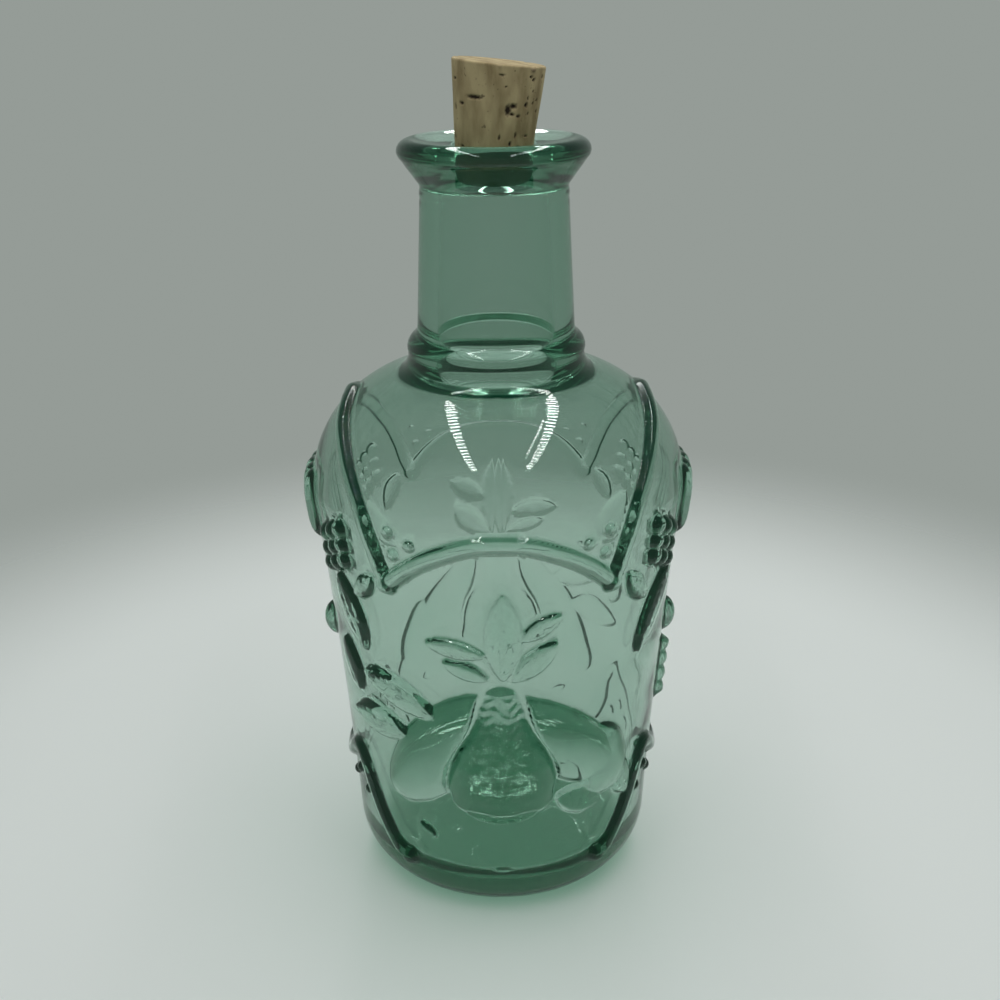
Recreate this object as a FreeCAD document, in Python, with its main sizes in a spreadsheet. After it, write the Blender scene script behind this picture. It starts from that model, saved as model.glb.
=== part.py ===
import FreeCAD, Part
import Sketcher
import math
import os
from FreeCAD import Matrix, Placement, Rotation, Vector

# A clear green glass decanter with a loose tapered cork. The bottle is one piece of pressed glass:
# a turned vessel with a thick base, a ring at the foot of the neck and a rolled lip, which carries
# raised ribs, a pear with fruit and leaves on its front and back, and a garland on each side.
# The origin is the middle of the base on the surface it stands on, +Z is up and the front faces -Y.

doc = FreeCAD.newDocument("decanter")

driving_sizes = {
    # outside of the vessel, as radii and heights
    "base_radius": 51.3,
    "heel_radius": 19.1,
    "shoulder_radius": 60.8,
    "shoulder_level": 140.5,
    "neck_foot_radius": 25.5,
    "neck_foot_level": 179.4,
    "neck_top_radius": 22.7,
    "neck_top_level": 236.0,
    "lip_circle": 25.7,
    "lip_level": 246.0,
    "lip_roll": 3.5,
    "lip_foot_angle": 40.0,
    "collar_circle": 23.3,
    "collar_level": 185.7,
    "collar_roll": 5.0,
    "neck_bead_drop": 3.0,
    "neck_bead_roll": 1.4,
    "neck_bead_proud": 0.6,
    "seam_ring_level": 21.5,
    "seam_ring_roll": 0.9,
    "seam_ring_proud": 0.6,
    # inside of the vessel
    "floor_thickness": 13.0,
    "wall_thickness": 4.6,
    "inner_heel_radius": 17.0,
    "bore_foot_radius": 19.4,
    "bore_foot_round": 4.0,
    "bore_top_radius": 16.2,
    "throat_length": 4.0,
    "mouth_round": 2.0,
    "lip_dish_radius": 24.0,
    "lip_dish_drop": 1.9,
    # cork
    "cork_length": 30.0,
    "cork_top_radius": 14.0,
    "cork_tip_radius": 11.25,
    "cork_depth": 8.5,
    "cork_edge": 0.6,
    "cork_tilt": 4.2,
    "cork_clearance": 0.25,
    # raised ornament
    "rib_roll": 2.7,
    "rib_sink": 0.3,
    "rib_end_roll": 3.4,
    "rib_spacing": 8.9,
    "foot_arch_level": 20.5,
    "pear_level": 41.0,
    "pear_length": 53.0,
    "pear_width": 37.0,
    "pear_depth": 11.0,
    "pear_sink": 3.2,
    "fruit_proud": 5.0,
    "leaf_proud": 2.0,
    "leaf_tip_drop": 1.3,
    "bead_roll": 1.9,
    "berry_roll": 3.3,
    "berry_proud": 3.0,
    "berry_rows": 3,
    "berry_turn": 4.6,
    "berry_rise": 5.2,
    "berry_step": 2.2,
    "flute_roll": 2.6,
    "flute_low_level": 125.5,
    "flute_length": 23.0,
    "flute_spread": 5.5,
    "rope_width": 7.2,
    "rope_slant": 25.0,
    "rope_low_level": 60.0,
    "rope_high_level": 78.0,
    "rope_pitch": 6.0,
    "knot_level": 89.5,
    "knot_width": 9.0,
    "knot_height": 13.0,
    "knot_proud": 4.5,
}

sheet = doc.addObject("Spreadsheet::Sheet", "Sizes")
for row, (alias, value) in enumerate(driving_sizes.items(), start=1):
    sheet.set(f"A{row}", alias)
    sheet.set(f"B{row}", str(value))
    sheet.setAlias(f"B{row}", alias)
doc.recompute()


def size(alias):
    return float(sheet.get(alias))


# ---- sketches ----

def start_outline(body_name):
    body = doc.addObject("PartDesign::Body", body_name)
    sketch = body.newObject("Sketcher::SketchObject", body_name + "_outline")
    upright = [plane for plane in body.Origin.OriginFeatures if plane.Role == "XZ_Plane"][0]
    sketch.AttachmentSupport = [(upright, "")]
    sketch.MapMode = "FlatFace"
    return body, sketch


def add_line(sketch, first, last):
    ends = [Vector(x, y, 0) for x, y in (first, last)]
    return sketch.addGeometry(Part.LineSegment(*ends), False)


def add_arc(sketch, centre, first, last):
    # The arc runs anticlockwise from first to last.
    radius = math.dist(centre, first)
    angles = [math.atan2(y - centre[1], x - centre[0]) for x, y in (first, last)]
    circle = Part.Circle(Vector(centre[0], centre[1], 0), Vector(0, 0, 1), radius)
    return sketch.addGeometry(Part.ArcOfCircle(circle, *angles), False)


def bind(sketch, kind, elements, rule, value=None):
    # A dimension of the sketch that reads the sheet: rule is an alias, or a sum that gives value.
    if value is None:
        value = size(rule)
    if not rule.startswith(("Sizes.", "(")):
        rule = "Sizes." + rule
    number = sketch.addConstraint(Sketcher.Constraint(kind, *elements, value))
    sketch.setExpression(f"Constraints[{number}]", rule)


def relate(sketch, kind, *elements):
    sketch.addConstraint(Sketcher.Constraint(kind, *elements))


def turn(body, sketch):
    doc.recompute()
    spin = body.newObject("PartDesign::Revolution", body.Name + "_turning")
    spin.Profile = sketch
    spin.ReferenceAxis = (sketch, ["V_Axis"])
    spin.Angle = 360
    doc.recompute()
    return body


# ---- shape of the outside wall, used by the sketch and by everything that lies on the wall ----

heel_end = (size("base_radius"), size("heel_radius"))
shoulder_start = (size("shoulder_radius"), size("shoulder_level"))
neck_foot = (size("neck_foot_radius"), size("neck_foot_level"))
shoulder_in = shoulder_start[0] - neck_foot[0]
shoulder_up = neck_foot[1] - shoulder_start[1]
shoulder_curve = (shoulder_in ** 2 + shoulder_up ** 2) / (2 * shoulder_in)
shoulder_centre = (shoulder_start[0] - shoulder_curve, shoulder_start[1])


def wall_radius(level):
    # Outside radius of the plain vessel at a height between the base and the neck.
    if level < heel_end[1]:
        below = heel_end[1] - level
        return heel_end[0] - size("heel_radius") + math.sqrt(size("heel_radius") ** 2 - below ** 2)
    if level < shoulder_start[1]:
        share = (level - heel_end[1]) / (shoulder_start[1] - heel_end[1])
        return heel_end[0] + (shoulder_start[0] - heel_end[0]) * share
    above = min(level, neck_foot[1]) - shoulder_centre[1]
    return shoulder_centre[0] + math.sqrt(shoulder_curve ** 2 - above ** 2)


def on_wall(azimuth, level, lift=0.0):
    # A point on the wall: azimuth in degrees from the front, positive towards +X.
    radius = wall_radius(level) + lift
    angle = math.radians(azimuth)
    return Vector(radius * math.sin(angle), -radius * math.cos(angle), level)


def wall_frame(azimuth, level, lift=0.0, turned=0.0):
    # Placement on the wall: local Z points out of the glass, local Y up the wall, turned clockwise.
    step = 0.5
    up = (on_wall(azimuth, level + step) - on_wall(azimuth, level - step)).normalize()
    angle = math.radians(azimuth)
    across = Vector(math.cos(angle), math.sin(angle), 0)
    out = across.cross(up)
    axes = Rotation(across, up, out, "ZXY")
    place = Placement(on_wall(azimuth, level) + out * lift, axes)
    return place.multiply(Placement(Vector(), Rotation(Vector(0, 0, 1), -turned)))


# ---- vessel outside ----

def make_vessel():
    lip_centre = (size("lip_circle"), size("lip_level"))
    roll = size("lip_roll")
    lip_top = (lip_centre[0], lip_centre[1] + roll)
    lip_turn = math.radians(size("lip_foot_angle"))
    lip_foot = (lip_centre[0] + roll * math.cos(lip_turn), lip_centre[1] - roll * math.sin(lip_turn))
    neck_top = (size("neck_top_radius"), size("neck_top_level"))
    foot = (size("base_radius") - size("heel_radius"), 0)
    body, sketch = start_outline("vessel")
    base = add_line(sketch, (0, 0), foot)
    heel = add_arc(sketch, (foot[0], size("heel_radius")), foot, heel_end)
    wall = add_line(sketch, heel_end, shoulder_start)
    shoulder = add_arc(sketch, shoulder_centre, shoulder_start, neck_foot)
    neck = add_line(sketch, neck_foot, neck_top)
    flare = add_line(sketch, neck_top, lip_foot)
    lip = add_arc(sketch, lip_centre, lip_foot, lip_top)
    rim = add_line(sketch, lip_top, (0, lip_top[1]))
    axis = add_line(sketch, (0, lip_top[1]), (0, 0))
    relate(sketch, "Coincident", base, 1, -1, 1)
    relate(sketch, "Horizontal", base)
    relate(sketch, "Tangent", base, 2, heel, 1)
    relate(sketch, "Horizontal", heel, 3, heel, 2)
    relate(sketch, "Coincident", heel, 2, wall, 1)
    relate(sketch, "Coincident", wall, 2, shoulder, 1)
    relate(sketch, "Horizontal", shoulder, 3, shoulder, 1)
    relate(sketch, "Coincident", shoulder, 2, neck, 1)
    relate(sketch, "Coincident", neck, 2, flare, 1)
    relate(sketch, "Tangent", flare, 2, lip, 1)
    relate(sketch, "Vertical", lip, 3, lip, 2)
    relate(sketch, "Coincident", lip, 2, rim, 1)
    relate(sketch, "Horizontal", rim)
    relate(sketch, "Coincident", rim, 2, axis, 1)
    relate(sketch, "Coincident", axis, 2, -1, 1)
    relate(sketch, "Vertical", axis)
    bind(sketch, "Radius", (heel,), "heel_radius")
    bind(sketch, "DistanceX", (-1, 1, heel, 2), "base_radius")
    bind(sketch, "DistanceX", (-1, 1, wall, 2), "shoulder_radius")
    bind(sketch, "DistanceY", (-1, 1, wall, 2), "shoulder_level")
    bind(sketch, "DistanceX", (-1, 1, neck, 1), "neck_foot_radius")
    bind(sketch, "DistanceY", (-1, 1, neck, 1), "neck_foot_level")
    bind(sketch, "DistanceX", (-1, 1, neck, 2), "neck_top_radius")
    bind(sketch, "DistanceY", (-1, 1, neck, 2), "neck_top_level")
    bind(sketch, "Radius", (lip,), "lip_roll")
    bind(sketch, "DistanceX", (-1, 1, lip, 3), "lip_circle")
    bind(sketch, "DistanceY", (-1, 1, lip, 3), "lip_level")
    return turn(body, sketch)


# ---- vessel inside ----

lip_top = size("lip_level") + size("lip_roll")
throat_top = lip_top - size("lip_dish_drop") - size("mouth_round")
cork_taper = (size("cork_top_radius") - size("cork_tip_radius")) / size("cork_length")
cork_below = size("cork_depth") - size("lip_dish_drop") - size("mouth_round")
throat_radius = size("cork_tip_radius") + cork_below * cork_taper + size("cork_clearance")

shoulder_rule = (
    "(pow(Sizes.shoulder_radius - Sizes.neck_foot_radius; 2)"
    " + pow(Sizes.neck_foot_level - Sizes.shoulder_level; 2))"
    " / (2 * (Sizes.shoulder_radius - Sizes.neck_foot_radius)) - Sizes.wall_thickness"
)
throat_top_rule = "lip_level + Sizes.lip_roll - Sizes.lip_dish_drop - Sizes.mouth_round"
throat_rule = (
    "Sizes.cork_tip_radius + (Sizes.cork_depth - Sizes.lip_dish_drop - Sizes.mouth_round)"
    " * (Sizes.cork_top_radius - Sizes.cork_tip_radius) / Sizes.cork_length + Sizes.cork_clearance"
)


def make_cavity():
    floor = size("floor_thickness")
    inner_heel = size("inner_heel_radius")
    heel_x = size("base_radius") - size("wall_thickness")
    heel_top = (heel_x, floor + inner_heel)
    wall_top = (size("shoulder_radius") - size("wall_thickness"), size("shoulder_level"))
    ceiling = shoulder_curve - size("wall_thickness")
    bore_round = size("bore_foot_round")
    bore_foot_x = size("bore_foot_radius")
    round_x = bore_foot_x + bore_round
    reach = shoulder_centre[0] - round_x
    round_y = shoulder_centre[1] + math.sqrt((ceiling + bore_round) ** 2 - reach ** 2)
    touch = ceiling / (ceiling + bore_round)
    ceiling_end = (
        shoulder_centre[0] + (round_x - shoulder_centre[0]) * touch,
        shoulder_centre[1] + (round_y - shoulder_centre[1]) * touch,
    )
    bore_foot = (bore_foot_x, round_y)
    bore_top = (size("bore_top_radius"), size("neck_top_level"))
    throat_foot = (throat_radius, throat_top - size("throat_length"))
    throat_end = (throat_radius, throat_top)
    mouth_centre = (throat_radius + size("mouth_round"), throat_top)
    dish_edge = (size("lip_dish_radius"), lip_top)
    dish_run = (dish_edge[0] - mouth_centre[0], dish_edge[1] - mouth_centre[1])
    dish_turn = math.acos(size("mouth_round") / math.hypot(*dish_run)) + math.atan2(dish_run[1], dish_run[0])
    mouth_edge = (
        mouth_centre[0] + size("mouth_round") * math.cos(dish_turn),
        mouth_centre[1] + size("mouth_round") * math.sin(dish_turn),
    )
    above = (dish_edge[0], lip_top + size("mouth_round"))
    body, sketch = start_outline("cavity")
    bottom = add_line(sketch, (0, floor), (heel_x - inner_heel, floor))
    heel = add_arc(sketch, (heel_x - inner_heel, heel_top[1]), (heel_x - inner_heel, floor), heel_top)
    wall = add_line(sketch, heel_top, wall_top)
    shoulder = add_arc(sketch, shoulder_centre, wall_top, ceiling_end)
    bore_bend = add_arc(sketch, (round_x, round_y), bore_foot, ceiling_end)
    bore = add_line(sketch, bore_foot, bore_top)
    taper = add_line(sketch, bore_top, throat_foot)
    throat = add_line(sketch, throat_foot, throat_end)
    mouth = add_arc(sketch, mouth_centre, mouth_edge, throat_end)
    dish = add_line(sketch, mouth_edge, dish_edge)
    side = add_line(sketch, dish_edge, above)
    top = add_line(sketch, above, (0, above[1]))
    axis = add_line(sketch, (0, above[1]), (0, floor))
    relate(sketch, "PointOnObject", bottom, 1, -2)
    relate(sketch, "Horizontal", bottom)
    relate(sketch, "Tangent", bottom, 2, heel, 1)
    relate(sketch, "Horizontal", heel, 3, heel, 2)
    relate(sketch, "Coincident", heel, 2, wall, 1)
    relate(sketch, "Coincident", wall, 2, shoulder, 1)
    relate(sketch, "Horizontal", shoulder, 3, shoulder, 1)
    relate(sketch, "Tangent", shoulder, 2, bore_bend, 2)
    relate(sketch, "Horizontal", bore_bend, 3, bore_bend, 1)
    relate(sketch, "Coincident", bore_bend, 1, bore, 1)
    relate(sketch, "Coincident", bore, 2, taper, 1)
    relate(sketch, "Coincident", taper, 2, throat, 1)
    relate(sketch, "Vertical", throat)
    relate(sketch, "Tangent", throat, 2, mouth, 2)
    relate(sketch, "Tangent", mouth, 1, dish, 1)
    relate(sketch, "Coincident", dish, 2, side, 1)
    relate(sketch, "Vertical", side)
    relate(sketch, "Coincident", side, 2, top, 1)
    relate(sketch, "Horizontal", top)
    relate(sketch, "Coincident", top, 2, axis, 1)
    relate(sketch, "Vertical", axis)
    relate(sketch, "Coincident", axis, 2, bottom, 1)
    bind(sketch, "DistanceY", (-1, 1, bottom, 1), "floor_thickness")
    bind(sketch, "Radius", (heel,), "inner_heel_radius")
    bind(sketch, "DistanceX", (-1, 1, wall, 1), "base_radius - Sizes.wall_thickness", heel_x)
    bind(sketch, "DistanceX", (-1, 1, wall, 2), "shoulder_radius - Sizes.wall_thickness", wall_top[0])
    bind(sketch, "DistanceY", (-1, 1, wall, 2), "shoulder_level")
    bind(sketch, "Radius", (shoulder,), shoulder_rule, ceiling)
    bind(sketch, "Radius", (bore_bend,), "bore_foot_round")
    bind(sketch, "DistanceX", (-1, 1, bore, 1), "bore_foot_radius")
    bind(sketch, "DistanceX", (-1, 1, bore, 2), "bore_top_radius")
    bind(sketch, "DistanceY", (-1, 1, bore, 2), "neck_top_level")
    bind(sketch, "DistanceX", (-1, 1, throat, 2), throat_rule, throat_radius)
    bind(sketch, "DistanceY", (-1, 1, throat, 2), throat_top_rule, throat_top)
    bind(sketch, "DistanceX", (-1, 1, dish, 2), "lip_dish_radius")
    bind(sketch, "DistanceY", (-1, 1, dish, 2), "lip_level + Sizes.lip_roll", lip_top)
    bind(sketch, "DistanceY", (throat, 1, throat, 2), "throat_length")
    bind(sketch, "Radius", (mouth,), "mouth_round")
    bind(sketch, "DistanceY", (side, 1, side, 2), "mouth_round")
    return turn(body, sketch)


# ---- raised ornament: the forms ----

def make_rib(route):
    # A round rib laid along the wall, through circles that swell to a drop at both ends.
    lift = -size("rib_sink")
    points = [on_wall(azimuth, level, lift) for azimuth, level in route]
    curve = Part.BSplineCurve()
    curve.interpolate(points)
    length = curve.length()
    roll = size("rib_roll")
    drop = size("rib_end_roll")
    ends = [(0.0, drop * 0.35), (drop * 0.5, drop * 0.85), (drop * 1.3, drop), (drop * 3.0, roll)]
    spans = round(length / size("rib_spacing"))
    plain = [(length * number / spans, roll) for number in range(1, spans)]
    middle = [station for station in plain if drop * 4.5 < station[0] < length - drop * 4.5]
    stations = ends + middle + [(length - along, radius) for along, radius in reversed(ends)]
    sections = []
    for along, radius in stations:
        place = curve.parameterAtDistance(along, curve.FirstParameter)
        point = curve.value(place)
        forward = curve.tangent(place)[0]
        circle = Part.Circle(point, forward, radius)
        outward = Vector(point.x, point.y, 0).normalize()
        circle.XAxis = (outward - forward * outward.dot(forward)).normalize()
        sections.append(Part.Wire(circle.toShape()))
    return Part.makeLoft(sections, True)


def mirrored(half_route, middle):
    # The whole of a route from the half that comes before its middle azimuth.
    rest = [(2 * middle - azimuth, level) for azimuth, level in reversed(half_route[:-1])]
    return half_route + rest


def make_pear():
    # A pear turned about its own length, flattened towards the wall, with its foot at the origin.
    length = size("pear_length")
    half = size("pear_width") / 2
    outline = [
        (0, 0),
        (0.66 * half, 0.05 * length),
        (0.97 * half, 0.15 * length),
        (1.0 * half, 0.30 * length),
        (0.80 * half, 0.54 * length),
        (0.54 * half, 0.78 * length),
        (0.36 * half, 0.91 * length),
        (0.22 * half, 0.98 * length),
        (0, length),
    ]
    side = Part.BSplineCurve()
    side.interpolate(
        [Vector(x, y, 0) for x, y in outline],
        InitialTangent=Vector(1, 0, 0),
        FinalTangent=Vector(-1, 0, 0),
    )
    core = Part.makeLine(Vector(0, length, 0), Vector(0, 0, 0))
    half_face = Part.Face(Part.Wire([side.toShape(), core]))
    pear = half_face.revolve(Vector(), Vector(0, 1, 0), 360)
    flatten = Matrix()
    flatten.scale(Vector(1, 1, size("pear_depth") / half))
    return pear.transformGeometry(flatten)


def make_egg(half_width, half_height, proud):
    # A flattened fruit whose middle plane is the wall.
    egg = Part.makeSphere(1.0)
    stretch = Matrix()
    stretch.scale(Vector(half_width, half_height, proud))
    return egg.transformGeometry(stretch)


def make_leaf(length, width):
    # A pointed leaf with a domed face, its middle at the origin.
    half = length / 2
    belly = width / 2
    root = -size("leaf_proud")
    tips = [Vector(0, -half, root), Vector(0, half, root)]
    sides = [
        Part.Arc(tips[0], Vector(belly, 0, root), tips[1]).toShape(),
        Part.Arc(tips[1], Vector(-belly, 0, root), tips[0]).toShape(),
    ]
    blade = Part.Face(Part.Wire(sides)).extrude(Vector(0, 0, 3 * size("leaf_proud")))
    dome = half ** 2 / (2 * size("leaf_tip_drop"))
    return blade.common(Part.makeSphere(dome, Vector(0, 0, size("leaf_proud") - dome)))


def placed(shape, azimuth, level, lift=0.0, turned=0.0):
    copy = shape.copy()
    copy.Placement = wall_frame(azimuth, level, lift, turned)
    return copy


# ---- raised ornament: where the forms lie, as azimuth and level ----

shoulder = size("shoulder_level")
rib_corner = (34.6, shoulder - 15.2)
front_arch = mirrored([
    (-rib_corner[0], rib_corner[1]),
    (-26.3, shoulder - 7.9),
    (-16.7, shoulder - 2.0),
    (-8.2, shoulder + 1.2),
    (0, shoulder + 2.1),
], 0)
side_arch = mirrored([
    rib_corner,
    (36.9, shoulder - 9.5),
    (39.0, shoulder - 2.0),
    (42.9, shoulder + 6.4),
    (49.0, shoulder + 13.6),
    (57.2, shoulder + 20.1),
    (69.0, shoulder + 25.6),
    (81.0, shoulder + 29.0),
    (90, shoulder + 30.0),
], 90)
foot_level = size("foot_arch_level")
foot_arch = mirrored([
    (37.0, foot_level),
    (43.0, foot_level + 3.0),
    (48.5, foot_level + 9.5),
    (54.0, foot_level + 19.0),
    (58.5, foot_level + 28.0),
    (62.5, foot_level + 32.3),
    (67.0, foot_level + 31.0),
    (72.5, foot_level + 26.5),
    (80.5, foot_level + 21.8),
    (90, foot_level + 20.0),
], 90)
pear_foot = size("pear_level")
front_leaves = [
    # azimuth, level, length, width, turned clockwise from upright
    (0.8, pear_foot + 70.0, 31.0, 12.5, 0),
    (-14.0, pear_foot + 65.5, 19.0, 7.0, -80),
    (-11.0, pear_foot + 58.0, 15.0, 6.5, -68),
    (12.0, pear_foot + 73.0, 15.0, 7.0, 58),
    (10.5, pear_foot + 61.0, 19.0, 9.0, 48),
    (-35.0, pear_foot + 44.5, 29.0, 12.0, -70),
    (-45.5, pear_foot + 30.5, 26.0, 12.5, -90),
    (46.5, pear_foot + 7.5, 20.0, 10.5, -22),
    (27.5, pear_foot + 5.5, 18.0, 12.0, 112),
    (-27.6, pear_foot - 6.5, 9.0, 5.0, -55),
]
front_fruit = [
    # azimuth, level, half width, half height, turned clockwise
    (-25.5, pear_foot + 22.0, 12.5, 25.0, 28),
    (37.5, pear_foot + 18.5, 14.0, 14.5, 0),
    (16.5, pear_foot + 36.5, 11.0, 13.5, 40),
    (27.5, pear_foot - 8.0, 5.5, 6.0, 0),
]
broad_leaves = [
    # azimuth, level, length, width, turned clockwise from upright
    (57.0, shoulder - 32.5, 31.0, 12.0, 30),
    (45.5, shoulder - 20.5, 15.0, 7.5, -40),
]
hanging_leaves = [
    (53.0, shoulder - 31.0, 26.0, 13.0, 24),
    (58.0, shoulder - 52.5, 19.0, 10.5, 20),
    (44.5, shoulder - 19.0, 13.0, 7.0, -45),
]
corner_beads = [
    # azimuth, level of the dots beside the corners of the ribs
    (32.8, shoulder + 2.6),
    (31.4, shoulder - 4.4),
    (25.8, shoulder - 0.4),
    (67.3, foot_level + 21.0),
    (73.5, foot_level + 16.8),
    (60.5, foot_level + 15.8),
]
berry_corner = (52.5, shoulder - 12.5)


def make_ribs():
    ribs = []
    for route in (front_arch, side_arch, foot_arch):
        rib = make_rib(route)
        far_rib = rib.copy()
        far_rib.Placement = Placement(Vector(), Rotation(Vector(0, 0, 1), 180))
        ribs += [rib, far_rib]
    return ribs


def make_face(heading):
    # Pear, fruit and leaves of one broad face; heading is 0 for the front and 180 for the back.
    forms = [placed(make_pear(), heading, pear_foot, -size("pear_sink"))]
    for azimuth, level, half_width, half_height, turned in front_fruit:
        fruit = make_egg(half_width, half_height, size("fruit_proud"))
        forms.append(placed(fruit, heading + azimuth, level, 0, turned))
    for azimuth, level, length, width, turned in front_leaves:
        forms.append(placed(make_leaf(length, width), heading + azimuth, level, 0, turned))
    return forms


def make_flutes(heading):
    # A block of upright flutes under the top of the side arch.
    forms = []
    low_level = size("flute_low_level")
    high_level = low_level + size("flute_length")
    for number in range(-2, 3):
        azimuth = heading + number * size("flute_spread")
        low = on_wall(azimuth, low_level)
        run = on_wall(azimuth, high_level) - low
        forms.append(Part.makeCylinder(size("flute_roll"), run.Length, low, run))
    return forms


def make_rope(heading):
    # A twisted string that hangs below the knot, as a row of slanted turns.
    half_width = size("rope_width") / 2
    turn_shape = make_egg(half_width, size("rope_pitch") * 0.56, half_width)
    reach = size("rope_high_level") - size("rope_low_level")
    turns = round(reach / size("rope_pitch")) + 1
    levels = [size("rope_low_level") + reach * number / (turns - 1) for number in range(turns)]
    return [placed(turn_shape, heading, level, 0, size("rope_slant")) for level in levels]


def make_knot(heading):
    knot = make_egg(size("knot_width") / 2, size("knot_height") / 2, size("knot_proud"))
    return placed(knot, heading, size("knot_level"))


def make_quarter(heading, side):
    # Leaves, berries and dots between the middle of a side (heading) and a broad face.
    forms = []
    for azimuth, level, length, width, turned in broad_leaves if side < 0 else hanging_leaves:
        leaf = make_leaf(length, width)
        forms.append(placed(leaf, heading + (90 - azimuth) * side, level, 0, -turned * side))
    berry = make_egg(size("berry_roll"), size("berry_roll"), size("berry_proud"))
    rows = round(size("berry_rows"))
    for column in range(rows):
        for row in range(rows):
            azimuth = berry_corner[0] + size("berry_turn") * column
            level = berry_corner[1] + size("berry_rise") * row - size("berry_step") * column
            forms.append(placed(berry, heading + (90 - azimuth) * side, level))
    bead = make_egg(size("bead_roll"), size("bead_roll"), size("bead_roll"))
    for azimuth, level in corner_beads:
        forms.append(placed(bead, heading + (90 - azimuth) * side, level))
    return forms


def add_form(name, shape):
    form = doc.addObject("Part::Feature", name)
    form.Shape = shape
    return form


def make_ornament():
    shapes = {"rib": make_ribs(), "rope": make_rope(90), "face": [], "flute": [], "knot": [], "quarter": []}
    for heading in (0, 180):
        shapes["face"] += make_face(heading)
        shapes["flute"] += make_flutes(heading + 90)
        shapes["knot"].append(make_knot(heading + 90))
        for side in (-1, 1):
            shapes["quarter"] += make_quarter(heading + 90, side)
    return [add_form(name, shape) for name, group in shapes.items() for shape in group]


# ---- bottle: everything outside joined, then hollowed ----

def make_ring(name, circle_rule, roll_alias, level_rule):
    ring = doc.addObject("Part::Torus", name)
    ring.setExpression("Radius1", circle_rule)
    ring.setExpression("Radius2", f"Sizes.{roll_alias}")
    ring.setExpression("Placement.Base.z", level_rule)
    return ring


def make_bottle():
    vessel = make_vessel()
    cavity = make_cavity()
    neck_bead_circle = "Sizes.neck_top_radius + Sizes.neck_bead_proud - Sizes.neck_bead_roll"
    neck_bead_level = "Sizes.neck_top_level - Sizes.neck_bead_drop"
    seam_ring_circle = "Sizes.base_radius + Sizes.seam_ring_proud - Sizes.seam_ring_roll"
    rings = [
        make_ring("collar", "Sizes.collar_circle", "collar_roll", "Sizes.collar_level"),
        make_ring("neck_bead", neck_bead_circle, "neck_bead_roll", neck_bead_level),
        make_ring("seam_ring", seam_ring_circle, "seam_ring_roll", "Sizes.seam_ring_level"),
    ]
    outside = doc.addObject("Part::MultiFuse", "outside")
    outside.Shapes = [vessel] + rings + make_ornament()
    outside.Refine = False
    bottle = doc.addObject("Part::Cut", "bottle")
    bottle.Base = outside
    bottle.Tool = cavity
    bottle.Refine = False
    bottle.Label = "bottle"
    return bottle


# ---- cork: a tapered plug that leans in the mouth, about its middle at the top of the throat ----

def make_cork():
    body = doc.addObject("PartDesign::Body", "cork")
    cone = body.newObject("PartDesign::AdditiveCone", "cork_cone")
    cone.setExpression("Radius1", "Sizes.cork_tip_radius")
    cone.setExpression("Radius2", "Sizes.cork_top_radius")
    cone.setExpression("Height", "Sizes.cork_length")
    doc.recompute()
    rounding = body.newObject("PartDesign::Fillet", "cork_edges")
    circles = [
        f"Edge{number}"
        for number, edge in enumerate(cone.Shape.Edges, start=1)
        if edge.Closed and edge.Curve.TypeId == "Part::GeomCircle"
    ]
    rounding.Base = (cone, circles)
    rounding.setExpression("Radius", "Sizes.cork_edge")
    body.Tip = rounding
    lean = Rotation(Vector(0, 1, 0), size("cork_tilt"))
    tip = Vector(0, 0, throat_top) - lean.multVec(Vector(0, 0, cork_below))
    body.Placement = Placement(tip, lean)
    body.Label = "cork"
    return body


parts = [make_bottle(), make_cork()]
doc.recompute()

for thing in doc.Objects:
    if "Invalid" in thing.State or "Error" in thing.State:
        raise ValueError(f"{thing.Name} failed: {thing.State}")
for part in parts:
    if part.Shape.isNull() or not part.Shape.isValid() or len(part.Shape.Solids) != 1:
        raise ValueError(f"{part.Label} is not one sound solid")

os.makedirs("parts", exist_ok=True)
for part in parts:
    part.Shape.exportStep(f"parts/{part.Label}.step")
    print(part.Label, round(part.Shape.Volume / 1000, 1), "cm3")
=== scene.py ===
import math

import bmesh
import bpy
import numpy as np
from mathutils import Matrix, Vector


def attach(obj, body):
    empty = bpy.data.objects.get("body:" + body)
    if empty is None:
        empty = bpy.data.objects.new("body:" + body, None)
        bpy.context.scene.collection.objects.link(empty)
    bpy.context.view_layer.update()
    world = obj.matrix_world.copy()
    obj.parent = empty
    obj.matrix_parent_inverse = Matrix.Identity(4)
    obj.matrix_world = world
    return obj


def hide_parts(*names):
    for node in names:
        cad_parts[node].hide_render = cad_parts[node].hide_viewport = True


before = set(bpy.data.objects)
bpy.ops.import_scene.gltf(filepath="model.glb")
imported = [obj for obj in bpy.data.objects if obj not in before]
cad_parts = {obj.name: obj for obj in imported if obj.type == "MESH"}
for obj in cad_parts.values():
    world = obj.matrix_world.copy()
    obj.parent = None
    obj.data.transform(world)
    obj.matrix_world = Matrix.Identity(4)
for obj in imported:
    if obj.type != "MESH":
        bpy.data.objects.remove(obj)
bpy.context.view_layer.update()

mm = 0.001

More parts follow.
